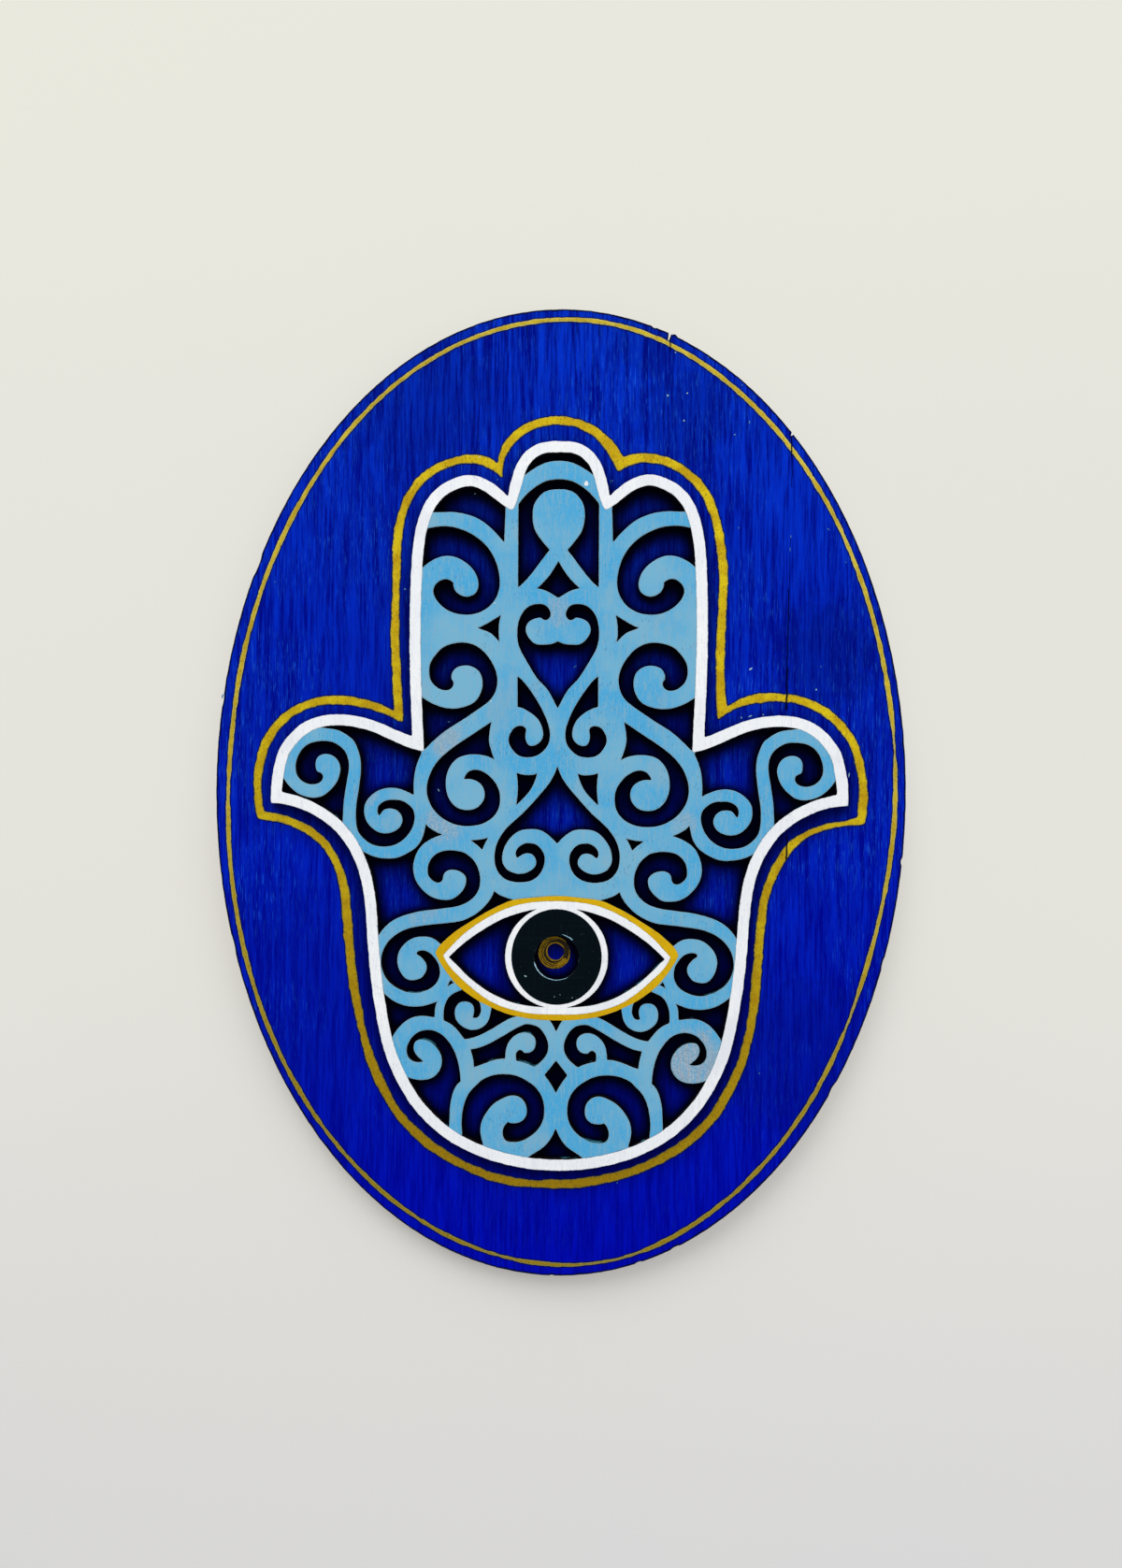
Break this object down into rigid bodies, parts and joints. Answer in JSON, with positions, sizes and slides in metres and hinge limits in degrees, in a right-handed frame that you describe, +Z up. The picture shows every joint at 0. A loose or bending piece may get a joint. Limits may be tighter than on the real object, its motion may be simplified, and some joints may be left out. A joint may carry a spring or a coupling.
{
  "type": "hamsa wall plaque",
  "caption": "Oval wooden wall plaque stained blue, with a fretted wooden hamsa hand glued to its front, painted scrollwork, an eye in the palm and gold outlines; hangs on a sawtooth hanger.",
  "frame": {"origin": "the top of the hanger's middle notch at the wall plane, where the wall nail carries the plaque", "axes": "+X to the right seen from the front, +Y into the wall, +Z up along the oval's long axis; the painted front faces -Y"},
  "size_m": [0.2024, 0.0104, 0.2835],
  "materials": {
    "blue_stained_ply": "royal blue stain with streaks along the upright grain",
    "bare_ply": "unfinished pale plywood",
    "scorched_ply": "laser-darkened sawn edges",
    "white_paint": "satin white acrylic paint",
    "light_blue_paint": "satin light blue acrylic paint",
    "gold_paint": "gold paint-pen line with a soft metallic sheen",
    "black_paint": "satin blue-black acrylic paint",
    "hanger_steel": "zinc-plated sheet steel",
    "nail_steel": "brass-coloured plated steel",
    "pad_rubber": "soft clear-white bumper pad"
  },
  "bodies": {
    "root": {"board_face_ply": "blue_stained_ply", "board_core_ply": "bare_ply", "board_back_ply": "bare_ply", "hand_face_ply": "scorched_ply", "hand_core_ply": "scorched_ply", "hand_back_ply": "scorched_ply", "rim_paint": "white_paint", "scroll_paint": "light_blue_paint", "eye_gold_paint": "gold_paint", "eye_white_paint": "white_paint", "iris_paint": "black_paint", "hand_gold_line": "gold_paint", "oval_gold_line": "gold_paint", "pupil_gold_ring": "gold_paint", "sawtooth_hanger": "hanger_steel", "hanger_nails": "nail_steel", "wall_pads": "pad_rubber"}
  },
  "joints": []
}
